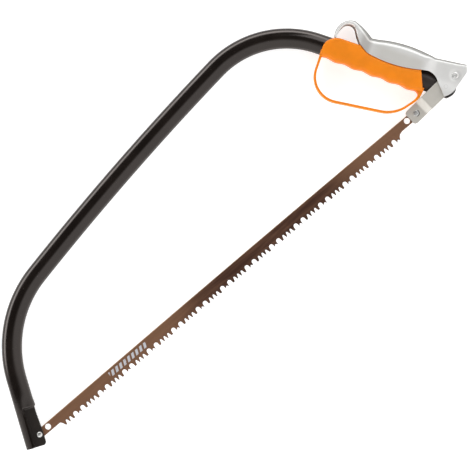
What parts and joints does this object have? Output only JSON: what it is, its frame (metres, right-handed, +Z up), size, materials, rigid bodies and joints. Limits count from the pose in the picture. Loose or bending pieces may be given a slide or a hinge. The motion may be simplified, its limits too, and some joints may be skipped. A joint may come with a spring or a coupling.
{
  "type": "bow saw",
  "caption": "Bow saw with an oval steel tube frame, moulded grip with a knuckle guard, over-centre tension lever and a peg-and-raker blade.",
  "frame": {"origin": "bottom centre of the bounding box, with the saw lying on its side", "axes": "+X along the blade from the nose to the handle, +Y from the blade towards the bow (the teeth face -Y), +Z up through the saw's thickness"},
  "size_m": [0.7156, 0.2278, 0.0266],
  "materials": {
    "tube_paint": "gloss black powder coat",
    "blade_coating": "bronze brown lacquer on hardened steel",
    "lever_steel": "satin zinc-plated pressing",
    "link_steel": "warm grey zinc-plated strip",
    "rivet_steel": "bright zinc",
    "grip_plastic": "orange, fine moulded texture",
    "plug_plastic": "black moulding"
  },
  "bodies": {
    "frame": {"frame_tube": "tube_paint", "front_blade_pin": "rivet_steel", "tube_end_plug": "plug_plastic", "pivot_sleeve": "rivet_steel", "lever_rivet": "lever_steel", "handle_grip": "grip_plastic"},
    "lever": {"tension_lever": "lever_steel", "link_rivet": "rivet_steel"},
    "link": {"right_link_cheek": "link_steel", "left_link_cheek": "link_steel", "link_spacer": "rivet_steel", "rear_blade_pin": "link_steel"},
    "blade": {"saw_blade": "blade_coating"}
  },
  "joints": [
    {"name": "lever_swing", "type": "hinge", "parent": "frame", "child": "lever", "pos_m": [0.32086, -0.09868, 0.0133], "axis": [0, 0, -1], "range_deg": [0, 70]},
    {"name": "link_swing", "type": "hinge", "parent": "lever", "child": "link", "pos_m": [0.33836, -0.09547, 0.0133], "axis": [0, 0, 1], "range_deg": [0, 93]},
    {"name": "blade_swing", "type": "hinge", "parent": "link", "child": "blade", "pos_m": [0.27306, -0.09983, 0.0133], "axis": [0, 0, -1], "range_deg": [0, 27]}
  ],
  "couplings": [
    {"joint": "link_swing", "follows": "lever_swing", "ratio": 1.3254},
    {"joint": "blade_swing", "follows": "lever_swing", "ratio": 0.38405}
  ]
}
